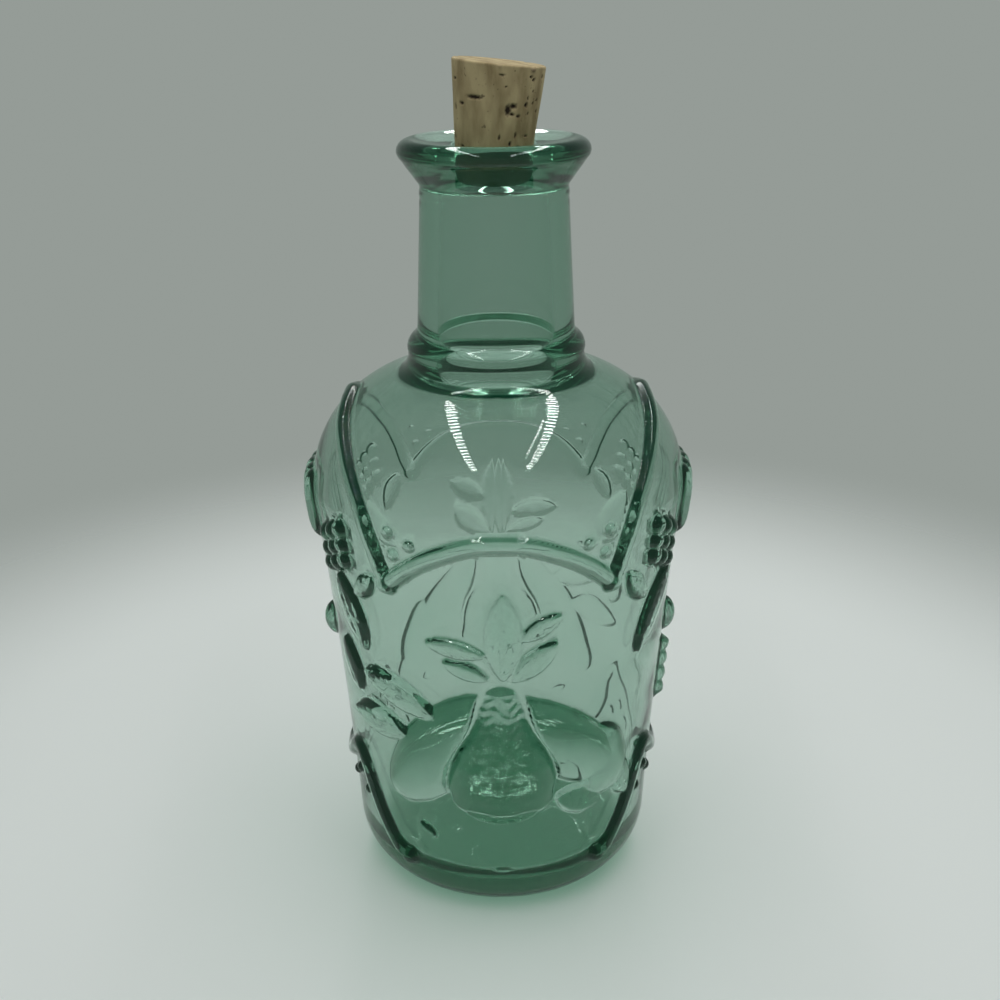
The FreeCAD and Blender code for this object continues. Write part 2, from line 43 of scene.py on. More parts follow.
# The plain glass, in millimetres.
vessel = {
    "baseRadius": 51.3,
    "heelRadius": 19.1,
    "shoulderRadius": 60.8,
    "shoulderLevel": 140.5,
    "wallHollow": 0.37,        # share of the wall's flare that comes late, so the wall is a little hollow
    "bendSpread": 3.5,         # easing of the bend between wall and shoulder
    "bendReach": 12,           # how far above and below the bend the easing acts
    "neckFootRadius": 25.5,
    "neckFootLevel": 179.4,
    "neckTopRadius": 22.7,
    "neckTopLevel": 236.0,
    "neckStraight": (192.0, 231.5),
    "neckBead": [              # how far out from the neck's top radius, level
        (0.05, 232.2), (0.25, 232.9), (0.28, 233.8), (0.12, 234.6), (0.02, 235.5), (0.25, 236.2),
    ],
    "collarFootLevel": 178.1,
    "collarFlare": [           # radius, level
        (31.0, 178.75), (29.9, 179.4), (29.1, 180.4), (28.5, 181.8), (28.05, 183.4), (28.1, 184.6),
    ],
    "collarCircle": 23.3,
    "collarLevel": 185.7,
    "collarRoll": 5.0,
    "collarTurn": 62,          # degrees of the roll that stand out from the neck
    "lipCircle": 25.3,
    "lipLevel": 246.0,
    "lipWide": 4.1,
    "lipHigh": 3.5,
    "lipTurn": (-44, 90),      # degrees of the lip's curve, from the flare to its top
    "lipMeets": 0.72,          # share of the lip's half size where the flare meets it
    "dish": [                  # radius, depth below the top of the lip
        (24.3, 0.16), (23.2, 0.45), (22.0, 0.75), (19.5, 1.15), (17.0, 1.5), (15.0, 1.78),
    ],
    "dishDrop": 1.9,
    "mouthRound": 2.0,
    "mouthTurn": (96, 180),
    "throatRadius": 11.92,
    "throatLength": 4.0,
    "throatFlare": [           # how far out from the throat, depth below its foot
        (0, -2), (0.12, 0), (1.1, 1.7), (2.3, 3.3),
    ],
    "boreTopRadius": 16.2,
    "boreCorner": (0.8, 0.9),  # the bore's top corner: inward, upward
    "boreTopDrop": 1,
    "boreFootRadius": 19.4,
    "boreFootRound": 1.0,
    "boreFootTurn": 189,
    "ceilingTrim": 2,          # degrees left between the bore's foot and the ceiling
    "wallThickness": 4.6,
    "innerHeelRadius": 11.0,
    "floorThickness": 12.0,
    "floorCrown": [            # share of the floor's radius, height over its edge
        (0.66, 0.15), (0.33, 0.4), (0, 0.5),
    ],
}


def wallFlare(rise):
    return (1 - vessel["wallHollow"]) * rise + vessel["wallHollow"] * rise ** 2


def shoulderCurve():
    # Radius of the arc from the widest place up to the foot of the neck.
    inward = vessel["shoulderRadius"] - vessel["neckFootRadius"]
    upward = vessel["neckFootLevel"] - vessel["shoulderLevel"]
    return (inward ** 2 + upward ** 2) / (2 * inward)


def plainRadius(level):
    # Outside radius of the heel, wall and shoulder at a height, for arrays too.
    v = vessel
    level = np.asarray(level, float)
    below = np.clip(v["heelRadius"] - level, 0, v["heelRadius"])
    heel = v["baseRadius"] - v["heelRadius"] + np.sqrt(v["heelRadius"] ** 2 - below ** 2)
    rise = (level - v["heelRadius"]) / (v["shoulderLevel"] - v["heelRadius"])
    flare = wallFlare(np.clip(rise, 0, 1))
    wall = v["baseRadius"] + (v["shoulderRadius"] - v["baseRadius"]) * flare
    curve = shoulderCurve()
    above = np.clip(level - v["shoulderLevel"], 0, v["neckFootLevel"] - v["shoulderLevel"])
    slope = v["shoulderRadius"] - curve + np.sqrt(curve ** 2 - above ** 2)
    return np.where(level < v["heelRadius"], heel, np.where(level < v["shoulderLevel"], wall, slope))


def smoothRadius(level):
    # The same with the bend between wall and shoulder eased.
    level = np.asarray(level, float)
    nearBend = np.clip(1 - np.abs(level - vessel["shoulderLevel"]) / vessel["bendReach"], 0, 1)
    spread = vessel["bendSpread"] * nearBend
    steps = (-1, -0.5, 0, 0.5, 1)
    return sum(plainRadius(level + step * spread) for step in steps) / len(steps)


levelTable = np.linspace(0, vessel["neckFootLevel"], 1800)
radiusTable = smoothRadius(levelTable)
runTable = np.concatenate([[0], np.cumsum(np.hypot(np.diff(levelTable), np.diff(radiusTable)))])


def runAt(level):
    return np.interp(level, levelTable, runTable)      # distance up the wall from the base


def levelAt(run):
    return np.interp(run, runTable, levelTable)


# The raised ornament: azimuth in degrees from the front, the rest in millimetres.
shoulder = vessel["shoulderLevel"]
footLevel = 20.5
pearLevel = 41.0

backFade = {"share": 0.6, "from": 92, "over": 14}      # height lost round the back, and where
seam = {"proud": 0.16, "width": 0.35, "ringProud": 0.4, "ringLevel": 21.5, "ringWidth": 0.55}
rib = {
    "roll": 2.8,
    "dropRoll": 3.5,
    "sink": 0.4,
    "fullness": 0.6,
    "frontArch": [(-34.6, shoulder - 15.2), (-26.3, shoulder - 7.9), (-16.7, shoulder - 2.0),
                  (-8.2, shoulder + 1.2), (0, shoulder + 2.1)],
    "sideArch": [(34.6, shoulder - 15.2), (36.9, shoulder - 9.5), (39.0, shoulder - 2.0),
                 (42.9, shoulder + 6.4), (49.0, shoulder + 13.6), (57.2, shoulder + 20.1),
                 (69.0, shoulder + 25.6), (81.0, shoulder + 29.0), (90, shoulder + 30.0)],
    "footArch": [(37.0, footLevel), (43.0, footLevel + 3.0), (48.5, footLevel + 9.5),
                 (54.0, footLevel + 19.0), (58.5, footLevel + 28.0), (62.5, footLevel + 32.3),
                 (67.0, footLevel + 31.0), (72.5, footLevel + 26.5), (80.5, footLevel + 21.8),
                 (90, footLevel + 20.0)],
}
pear = {
    "level": pearLevel,
    "length": 55.0,
    "width": 35.0,
    "depth": 11.0,
    "sink": 2.6,
    "fullness": 0.7,
    "outline": [               # share of the length, share of the width
        (0, 0), (0.02, 0.42), (0.05, 0.66), (0.15, 0.95), (0.30, 1.0), (0.42, 0.93),
        (0.52, 0.80), (0.62, 0.63), (0.72, 0.51), (0.83, 0.44), (0.93, 0.36), (1.0, 0),
    ],
    "ripple": 0.13,
    "rippleFrom": 24,
    "rippleEnd": 3,
    "foldDeep": 2.6,           # the fold under the belly
    "foldWide": 10.5,
    "foldLevel": 6.2,
    "foldBow": 60,
    "foldHigh": 2.4,
    "clearFrom": 0.1,          # the gap left round the pear, where the fruit stops
    "clearOver": 0.7,
}
fruit = {
    "proud": 4.6,
    "fullness": 0.7,
    "places": [                # azimuth, level, half width, half height, turned clockwise
        (-21.5, pearLevel + 26.0, 12.5, 28.0, 38),
        (20.5, pearLevel + 29.0, 11.5, 27.0, -50),
        (37.0, pearLevel + 17.5, 10.5, 14.5, -12),
    ],
}
leaf = {
    "proud": 2.4,
    "edgeSteep": 3.2,
    "edgeShare": 0.55,         # the rest of the height is the roof up to the midrib
    "tipDrop": 0.35,
    "veinHigh": 0.05,
    "veinPitch": 3.0,
    "veinSlant": 1.1,
    "dentHigh": 0.07,
    "midribDeep": 0.45,
    "midribWide": 0.5,
    "fallShare": 0.8,
    "faceLeaves": [            # azimuth, level, length, width, turned clockwise from upright
        (0.8, pearLevel + 70.0, 31.0, 12.5, 0),
        (-14.0, pearLevel + 65.5, 19.0, 7.0, -80),
        (-11.0, pearLevel + 58.0, 15.0, 6.5, -68),
        (12.0, pearLevel + 73.0, 15.0, 7.0, 58),
        (10.5, pearLevel + 61.0, 19.0, 9.0, 48),
        (-35.0, pearLevel + 44.5, 29.0, 12.0, -70),
        (-45.5, pearLevel + 30.5, 26.0, 12.5, -90),
        (46.5, pearLevel + 7.5, 20.0, 10.5, -22),
        (27.5, pearLevel + 5.5, 18.0, 12.0, 112),
        (-27.6, pearLevel - 6.5, 8.0, 3.6, -55),
    ],
    "rightLeaves": [           # at the right of each face
        (57.0, shoulder - 32.5, 31.0, 12.0, 30),
        (45.5, shoulder - 20.5, 15.0, 7.5, -40),
    ],
    "leftLeaves": [            # at the left of each face
        (53.0, shoulder - 31.0, 26.0, 13.0, 24),
        (58.0, shoulder - 52.5, 19.0, 10.5, 20),
        (44.5, shoulder - 19.0, 13.0, 7.0, -45),
    ],
}
garland = {
    "berryRoll": 3.3,
    "berryShare": 0.9,         # how proud a berry stands, as a share of its radius
    "berryCorner": (52.5, shoulder - 12.5),
    "berryLines": 3,
    "berryTurn": 4.6,
    "berryRise": 5.2,
    "berryDrop": 2.2,          # how much lower each next column starts
    "beadRoll": 1.9,
    "beadShare": 0.8,
    "beads": [(32.8, shoulder + 2.6), (31.4, shoulder - 4.4), (25.8, shoulder - 0.4),
              (67.3, footLevel + 21.0), (73.5, footLevel + 16.8), (60.5, footLevel + 15.8)],
    "knot": (89.5, 4.5, 6.5, 4.6),                     # level, half width, half height, proud
}
flutes = {
    "roll": 2.6,
    "lift": 0.6,
    "fullness": 0.6,
    "spread": 5.5,             # degrees from one flute to the next
    "eachSide": 2,             # flutes at each side of the middle one
    "low": 125.5,
    "high": 148.5,
}
rope = {
    "azimuth": 90,
    "low": 60.0,
    "high": 78.0,
    "roll": 3.6,
    "proud": 4.0,
    "fullness": 0.55,
    "overrun": 3,
    "endFade": 2,
    "pitch": 6.0,
    "slant": 0.4,
    "twistDeep": 0.38,
}


def turnFrom(azimuth, heading):
    return (azimuth - heading + 180) % 360 - 180


def localFrame(azimuth, run, radius, place):
    # Distances across and along a form that lies at place and is turned clockwise.
    centreAzimuth, level, turned = place
    across = np.radians(turnFrom(azimuth, centreAzimuth)) * radius
    upward = run - runAt(level)
    angle = math.radians(turned)
    side = across * math.cos(angle) - upward * math.sin(angle)
    along = across * math.sin(angle) + upward * math.cos(angle)
    return side, along, across


def dome(share, fullness=0.5):
    # 1 at the middle of a form, falling to 0 where share reaches 1.
    return np.clip(1 - share, 0, 1) ** fullness


def eggRelief(surface, place, halfWidth, halfHeight, proud, fullness=0.55):
    side, along, across = localFrame(*surface, place)
    share = (side / halfWidth) ** 2 + (along / halfHeight) ** 2
    fall = np.where(share < 1, across ** 2 / (2 * surface[2]), 0)
    return proud * dome(share, fullness) + fall * dome(share)


def pearRelief(surface, heading):
    # The pear's height, and a mask that is 0 on it and 1 clear of it.
    p = pear
    side, along, across = localFrame(*surface, (heading, p["level"], 0))
    share = np.clip(along / p["length"], 0, 1)
    stations, widths = zip(*p["outline"])
    fine = np.linspace(0, 1, 200)
    outline = np.interp(fine, stations, widths)
    outline = np.convolve(np.pad(outline, 4, mode="edge"), np.ones(9) / 9, mode="valid")
    half = np.interp(share, fine, outline) * p["width"] / 2
    half = np.maximum(half, 1e-3)
    depth = half * p["depth"] / (p["width"] / 2)
    height = depth * dome((side / half) ** 2, p["fullness"]) - p["sink"] + across ** 2 / (2 * surface[2])
    ripple = p["ripple"] * np.sin(along * 1.7 + 2.6 * np.sin(side * 0.8)) * np.sin(side * 0.6 + along * 0.4)
    onNeck = np.clip((along - p["rippleFrom"]) / 6, 0, 1)
    height = height + ripple * onNeck * np.clip((p["length"] - p["rippleEnd"] - along) / 4, 0, 1)
    fold = (along - p["foldLevel"] - side ** 2 / p["foldBow"]) / p["foldHigh"]
    height = height - p["foldDeep"] * dome((side / p["foldWide"]) ** 2 + fold ** 2)
    inside = (along > 0) & (along < p["length"]) & (np.abs(side) < half)
    gap = np.maximum(np.abs(side) - half, np.maximum(-along, along - p["length"]))
    clear = np.clip((gap - p["clearFrom"]) / p["clearOver"], 0, 1)
    return np.where(inside, np.maximum(height, 0), 0), clear


def leafRelief(surface, place, length, width):
    side, along, across = localFrame(*surface, place)
    toTip = along / (length / 2)
    half = width / 2 * np.clip(1 - toTip ** 2, 0, 1) ** 0.8
    slant = np.clip(1 - np.abs(side) / np.maximum(half, 0.01), 0, 1)
    edge = np.clip(slant * leaf["edgeSteep"], 0, 1)
    rise = leaf["edgeShare"] * np.sqrt(edge) + (1 - leaf["edgeShare"]) * slant
    roof = leaf["proud"] * rise * (1 - leaf["tipDrop"] * toTip ** 2)
    veinPhase = (along - leaf["veinSlant"] * np.abs(side)) * 2 * math.pi / leaf["veinPitch"]
    veins = leaf["veinHigh"] * np.cos(veinPhase) * edge
    veins += leaf["dentHigh"] * np.sin(along * 1.9 + side * 0.7) * np.sin(side * 2.3 - along * 0.6) * edge
    veins -= leaf["midribDeep"] * np.exp(-(side / leaf["midribWide"]) ** 2) * edge
    fall = across ** 2 / (2 * surface[2])
    onLeaf = (np.abs(toTip) < 1) & (slant > 0)
    return np.where(onLeaf, roof + veins + leaf["fallShare"] * fall * edge, 0)


def route(points, middle):
    # Every few millimetres along a smooth line through the points and their mirror image.
    rest = [(2 * middle - azimuth, level) for azimuth, level in reversed(points[:-1])]
    nodes = np.array([(a, float(runAt(z))) for a, z in points + rest])
    steps = np.concatenate([[0], np.cumsum(np.hypot(*(np.diff(nodes, axis=0).T)))])
    tangents = np.gradient(nodes, steps, axis=0)
    fine = np.linspace(0, steps[-1], 120)
    index = np.clip(np.searchsorted(steps, fine, side="right") - 1, 0, len(steps) - 2)
    gap = (steps[index + 1] - steps[index])[:, None]
    t = (fine[:, None] - steps[index][:, None]) / gap
    return ((2 * t ** 3 - 3 * t ** 2 + 1) * nodes[index] + (t ** 3 - 2 * t ** 2 + t) * gap * tangents[index]
            + (3 * t ** 2 - 2 * t ** 3) * nodes[index + 1] + (t ** 3 - t ** 2) * gap * tangents[index + 1])


def ribRelief(surface, path, drops=True):
    # A round rib along a path, with a rounded drop at each end.
    azimuth, run, radius = surface
    nearest = np.full(azimuth.shape, 1e9)
    for (firstAzimuth, firstRun), (lastAzimuth, lastRun) in zip(path[:-1], path[1:]):
        x = np.radians(turnFrom(azimuth, firstAzimuth)) * radius
        y = run - firstRun
        dx = math.radians(lastAzimuth - firstAzimuth) * radius
        dy = lastRun - firstRun
        t = np.clip((x * dx + y * dy) / (dx ** 2 + dy ** 2 + 1e-9), 0, 1)
        nearest = np.minimum(nearest, (x - t * dx) ** 2 + (y - t * dy) ** 2)
    height = (rib["roll"] - rib["sink"]) * dome(nearest / rib["roll"] ** 2, rib["fullness"])
    if drops:
        for endAzimuth, endRun in (path[0], path[-1]):
            x = np.radians(turnFrom(azimuth, endAzimuth)) * radius
            reach = (x ** 2 + (run - endRun) ** 2) / rib["dropRoll"] ** 2
            height = np.maximum(height, (rib["dropRoll"] - rib["sink"]) * dome(reach, rib["fullness"]))
    return height


def fluteRelief(surface, heading):
    azimuth, run, radius = surface
    turn = turnFrom(azimuth, heading)
    number = np.clip(np.round(turn / flutes["spread"]), -flutes["eachSide"], flutes["eachSide"])
    across = np.radians(turn - number * flutes["spread"]) * radius
    flute = dome((across / flutes["roll"]) ** 2, flutes["fullness"]) * (flutes["roll"] + flutes["lift"])
    low, high = runAt(flutes["low"]), runAt(flutes["high"])
    toEnd = np.clip((2 * run - low - high) / (high - low), -1, 1)
    return flute * np.sqrt(1 - toEnd ** 4)


def ropeRelief(surface):
    side, along = localFrame(*surface, (rope["azimuth"], rope["low"], 0))[:2]
    reach = float(runAt(rope["high"]) - runAt(rope["low"]))
    ends = np.clip((along + rope["overrun"]) / rope["endFade"], 0, 1)
    ends = ends * np.clip((reach + rope["overrun"] - along) / rope["endFade"], 0, 1)
    turn = np.mod((along + rope["slant"] * side) / rope["pitch"] + 0.5, 1)
    strand = np.sqrt(np.clip(1 - (2 * turn - 1) ** 2, 0, 1))
    twist = 1 - rope["twistDeep"] + rope["twistDeep"] * strand
    return rope["proud"] * dome((side / rope["roll"]) ** 2, rope["fullness"]) * np.sqrt(ends) * twist


def sideBalls():
    # Azimuth, level, radius and height of the berries and beads beside a face.
    g = garland
    balls = []
    for column in range(g["berryLines"]):
        for row in range(g["berryLines"]):
            turn = g["berryCorner"][0] + g["berryTurn"] * column
            level = g["berryCorner"][1] + g["berryRise"] * row - g["berryDrop"] * column
            balls.append((turn, level, g["berryRoll"], g["berryRoll"] * g["berryShare"]))
    for turn, level in g["beads"]:
        balls.append((turn, level, g["beadRoll"], g["beadRoll"] * g["beadShare"]))
    return balls


def faceForms(surface, heading):
    # The ribs, pear, fruit and leaves of one face.
    forms = [
        ribRelief(surface, route(rib["frontArch"], 0) + [heading, 0], drops=False),
        ribRelief(surface, route(rib["sideArch"], 90) + [heading, 0]),
        ribRelief(surface, route(rib["footArch"], 90) + [heading, 0]),
    ]
    pearHeight, clear = pearRelief(surface, heading)
    forms.append(pearHeight)
    for turn, level, halfWidth, halfHeight, turned in fruit["places"]:
        place = (heading + turn, level, turned)
        egg = eggRelief(surface, place, halfWidth, halfHeight, fruit["proud"], fruit["fullness"])
        forms.append(egg * clear)
    for turn, level, length, width, turned in leaf["faceLeaves"]:
        forms.append(leafRelief(surface, (heading + turn, level, turned), length, width))
    return forms


def sideForms(surface, middle):
    # The flutes, the knot and the mirrored leaves, berries and beads about one side.
    level, halfWidth, halfHeight, proud = garland["knot"]
    forms = [
        fluteRelief(surface, middle),
        eggRelief(surface, (middle, level, 0), halfWidth, halfHeight, proud),
    ]
    for mirror, leaves in ((-1, leaf["rightLeaves"]), (1, leaf["leftLeaves"])):
        for turn, level, length, width, turned in leaves:
            place = (middle + (90 - turn) * mirror, level, -turned * mirror)
            forms.append(leafRelief(surface, place, length, width))
        for turn, level, radius, proud in sideBalls():
            place = (middle + (90 - turn) * mirror, level, 0)
            forms.append(eggRelief(surface, place, radius, radius, proud))
    return forms


def relief(azimuth, level):
    # Height of the ornament over the wall, with the mould's seams.
    surface = (azimuth, runAt(level), smoothRadius(level))
    forms = [ropeRelief(surface)]
    for heading in (0, 180):
        forms += faceForms(surface, heading)
        forms += sideForms(surface, heading + 90)
    height = np.zeros(azimuth.shape)
    for form in forms:
        height = np.maximum(height, form)
    turned = np.abs(turnFrom(azimuth, 0))
    faded = 1 - backFade["share"] * np.clip((turned - backFade["from"]) / backFade["over"], 0, 1)
    fromSeam = np.radians((azimuth + 90) % 180 - 90) * surface[2]
    line = seam["proud"] * np.exp(-(fromSeam / seam["width"]) ** 2)
    ring = seam["ringProud"] * np.exp(-((level - seam["ringLevel"]) / seam["ringWidth"]) ** 2)
    return height * faded + line + ring


profileSteps = {"collar": 9, "neck": 18, "lip": 14, "mouth": 8, "bore": 22, "boreFoot": 7,
                "ceiling": 26, "wall": 40, "heel": 14}
bottleMesh = {
    "turns": 168,
    "wallStep": 2.2,
    "mergeWithin": 0.02,
    "refineLimits": (0.06, 0.36),      # a face is split where its relief changes by more
    "wallSlack": 0.5,          # how near the plain wall a vertex lies to carry relief
    "reliefFrom": 8,
    "reliefShort": 0.5,        # how far below the foot of the neck the relief stops
    "slopeStep": 0.2,
}
innerWave = {                  # slow unevenness of the blown inside wall
    "high": 0.085,
    "underSkin": 3,
    "overFloor": 1,
    "underNeck": 8,
    "from": 18,
    "to": 165,
    "fade": 15,
}


def arcPoints(centre, radii, first, last, count):
    angles = np.radians(np.linspace(first, last, count))
    return [(centre[0] + radii[0] * math.cos(a), centre[1] + radii[1] * math.sin(a)) for a in angles]


def wallAndNeckPoints():
    # From the middle of the foot, up the outside to the top of the neck.
    v = vessel
    points = [(0, 0), ((v["baseRadius"] - v["heelRadius"]) * 0.5, 0)]
    topRun = float(runAt(v["collarFootLevel"]))
    for level in levelAt(np.linspace(0, topRun, round(topRun / bottleMesh["wallStep"]))):
        points.append((float(smoothRadius(level)), float(level)))
    points += v["collarFlare"]
    collar = (v["collarCircle"], v["collarLevel"])
    collarRadii = (v["collarRoll"], v["collarRoll"])
    points += arcPoints(collar, collarRadii, 0, v["collarTurn"], profileSteps["collar"])
    neckSpan = v["neckTopLevel"] - v["neckFootLevel"]
    narrowing = v["neckTopRadius"] - v["neckFootRadius"]
    for level in np.linspace(*v["neckStraight"], profileSteps["neck"]):
        share = (level - v["neckFootLevel"]) / neckSpan
        points.append((v["neckFootRadius"] + narrowing * share, float(level)))
    points += [(v["neckTopRadius"] + out, level) for out, level in v["neckBead"]]
    return points


def lipPoints():
    # Up the flare, over the lip, down the dish and the throat to the top of the bore.
    v = vessel
    flareOut, flareLevel = v["neckBead"][-1]
    outward = v["lipCircle"] + v["lipWide"] * v["lipMeets"] - v["neckTopRadius"] - flareOut
    upward = v["lipLevel"] - v["lipHigh"] * v["lipMeets"] - flareLevel
    points = []
    for share in (0.2, 0.4, 0.6, 0.8):
        points.append((v["neckTopRadius"] + flareOut + outward * share, flareLevel + upward * share))
    points += arcPoints((v["lipCircle"], v["lipLevel"]), (v["lipWide"], v["lipHigh"]),
                        *v["lipTurn"], profileSteps["lip"])
    lipTop = v["lipLevel"] + v["lipHigh"]
    points += [(radius, lipTop - down) for radius, down in v["dish"]]
    mouth = (v["throatRadius"] + v["mouthRound"], throatTop())
    points += arcPoints(mouth, (v["mouthRound"], v["mouthRound"]), *v["mouthTurn"], profileSteps["mouth"])
    throatFoot = throatTop() - v["throatLength"]
    points += [(v["throatRadius"] + out, throatFoot - down) for out, down in v["throatFlare"]]
    inward, upward = v["boreCorner"]
    points.append((v["boreTopRadius"] - inward, v["neckTopLevel"] + upward))
    return points


def throatTop():
    return vessel["lipLevel"] + vessel["lipHigh"] - vessel["dishDrop"] - vessel["mouthRound"]


def insidePoints():
    # Down the bore, under the shoulder, down the inside wall and across the floor.
    v = vessel
    centre = (v["shoulderRadius"] - shoulderCurve(), v["shoulderLevel"])
    ceiling = shoulderCurve() - v["wallThickness"]
    bend = v["boreFootRound"]
    bendX = v["boreFootRadius"] + bend
    bendY = centre[1] + math.sqrt((ceiling + bend) ** 2 - (centre[0] - bendX) ** 2)
    widening = v["boreFootRadius"] - v["boreTopRadius"]
    drop = bendY - v["neckTopLevel"] + v["boreTopDrop"]
    points = []
    for share in np.linspace(0, 1, profileSteps["bore"]):
        level = v["neckTopLevel"] - v["boreTopDrop"] + drop * float(share)
        points.append((v["boreTopRadius"] + widening * share, level))
    touch = math.degrees(math.atan2(bendY - centre[1], bendX - centre[0]))
    points += arcPoints((bendX, bendY), (bend, bend),
                        v["boreFootTurn"], 180 + touch, profileSteps["boreFoot"])
    points += arcPoints(centre, (ceiling, ceiling), touch - v["ceilingTrim"], 0, profileSteps["ceiling"])
    wallTop = v["shoulderRadius"] - v["wallThickness"]
    heelTop = v["baseRadius"] - v["wallThickness"]
    heelLevel = v["floorThickness"] + v["innerHeelRadius"]
    for share in np.linspace(0, 1, profileSteps["wall"])[1:-1]:
        radius = heelTop + (wallTop - heelTop) * wallFlare(1 - share)
        points.append((radius, v["shoulderLevel"] + (heelLevel - v["shoulderLevel"]) * float(share)))
    heelCentre = (heelTop - v["innerHeelRadius"], heelLevel)
    heelRadii = (v["innerHeelRadius"], v["innerHeelRadius"])
    points += arcPoints(heelCentre, heelRadii, 0, -90, profileSteps["heel"])
    points += [(heelCentre[0] * share, v["floorThickness"] + rise) for share, rise in v["floorCrown"]]
    return points


def coordinates(bm):
    return np.array([vert.co for vert in bm.verts]) / mm


def outsideMask(places):
    radius = np.hypot(places[:, 0], places[:, 1])
    level = places[:, 2]
    near = np.abs(radius - smoothRadius(level)) < bottleMesh["wallSlack"]
    top = vessel["neckFootLevel"] - bottleMesh["reliefShort"]
    return near & (level > bottleMesh["reliefFrom"]) & (level < top)


def refine(bm, limit):
    # Splits the faces of the outside whose relief changes by more than limit across the face.
    bm.verts.index_update()
    places = coordinates(bm)
    outside = outsideMask(places)
    azimuth = np.degrees(np.arctan2(places[:, 0], -places[:, 1]))
    height = np.zeros(len(places))
    height[outside] = relief(azimuth[outside], places[outside, 2])
    edges = set()
    for face in bm.faces:
        corners = [vert.index for vert in face.verts]
        if all(outside[corners]):
            values = height[corners]
            if values.max() - values.min() > limit:
                edges.update(face.edges)
    bmesh.ops.subdivide_edges(bm, edges=list(edges), cuts=1, use_grid_fill=True)
    print("bottle: relief refined to", len(bm.faces), "faces")


def insideMask(places):
    radius = np.hypot(places[:, 0], places[:, 1])
    level = places[:, 2]
    low = vessel["floorThickness"] + innerWave["overFloor"]
    high = vessel["neckFootLevel"] - innerWave["underNeck"]
    return (radius < plainRadius(level) - innerWave["underSkin"]) & (level > low) & (level < high)


def waveHeight(azimuth, level):
    w = innerWave
    wave = np.sin(3 * azimuth + level * 0.11) + 0.8 * np.sin(5 * azimuth - level * 0.17 + 1.3)
    wave += 0.6 * np.sin(8 * azimuth + level * 0.06 + 2.1) + 0.5 * np.sin(2 * azimuth - level * 0.34 + 0.4)
    ease = np.clip((level - w["from"]) / w["fade"], 0, 1) * np.clip((w["to"] - level) / w["fade"], 0, 1)
    return w["high"] * wave * ease


def raiseRelief(bm):
    # Moves the outside out along its slope by the relief, and the inside by its waves.
    places = coordinates(bm)
    outside = outsideMask(places)
    inside = insideMask(places)
    level = places[:, 2]
    azimuth = np.arctan2(places[:, 0], -places[:, 1])
    height = np.zeros(len(places))
    height[outside] = relief(np.degrees(azimuth[outside]), level[outside])
    step = bottleMesh["slopeStep"]
    slope = (smoothRadius(level + step) - smoothRadius(level - step)) / (2 * step)
    tilt = 1 / np.sqrt(1 + slope ** 2)
    radius = np.where(outside, smoothRadius(level), np.hypot(places[:, 0], places[:, 1]))
    radius = radius + height * tilt
    radius = radius + np.where(inside, waveHeight(azimuth, level), 0)
    lifted = level - height * slope * tilt
    for vert, moves, r, z, a in zip(bm.verts, outside | inside, radius, lifted, azimuth):
        if moves:
            vert.co = Vector((r * math.sin(a), -r * math.cos(a), z)) * mm


def turnOutline(outline, turns, mergeWithin):
    # Spins radius and level points about the upright axis.
    bm = bmesh.new()
    verts = [bm.verts.new((float(r) * mm, 0, float(z) * mm)) for r, z in outline]
    edges = [bm.edges.new(pair) for pair in zip(verts[:-1], verts[1:])]
    bmesh.ops.spin(bm, geom=verts + edges, cent=(0, 0, 0), axis=(0, 0, 1), dvec=(0, 0, 0),
                   angle=2 * math.pi, steps=turns, use_merge=True, use_duplicate=False)
    bmesh.ops.remove_doubles(bm, verts=bm.verts, dist=mergeWithin * mm)
    return bm


def finishPiece(bm, name, material, node):
    bmesh.ops.recalc_face_normals(bm, faces=bm.faces)
    for face in bm.faces:
        face.smooth = True
    mesh = bpy.data.meshes.new(name)
    bm.to_mesh(mesh)
    bm.free()
    piece = bpy.data.objects.new(name, mesh)
    bpy.context.collection.objects.link(piece)
    mesh.materials.append(material)
    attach(piece, "root")
    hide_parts(node)
    print(name, "has", sum(len(p.vertices) - 2 for p in mesh.polygons), "triangles")


def makeBottle(material):
    outline = wallAndNeckPoints() + lipPoints() + insidePoints()
    bm = turnOutline(outline, bottleMesh["turns"], bottleMesh["mergeWithin"])
    print("bottle: turned with", len(bm.faces), "faces")
    for limit in bottleMesh["refineLimits"]:
        refine(bm, limit)
    raiseRelief(bm)
    finishPiece(bm, "bottleGlass", material, "bottle")


def newMaterial(name):
    material = bpy.data.materials.new(name)
    material.use_nodes = True
    material.node_tree.nodes.clear()
    return material, material.node_tree.nodes, material.node_tree.links


glassFinish = {
    "ior": 1.52,
    "absorb": (0.032, 0.5, 0.282, 1),
    "density": 58.0,
    "bloom": (0.04, 0.32, 0.19, 1),    # faint scatter that keeps thick edges green
    "bloomShare": 0.06,
    "shadow": (0.93, 0.93, 0.93, 1),
}


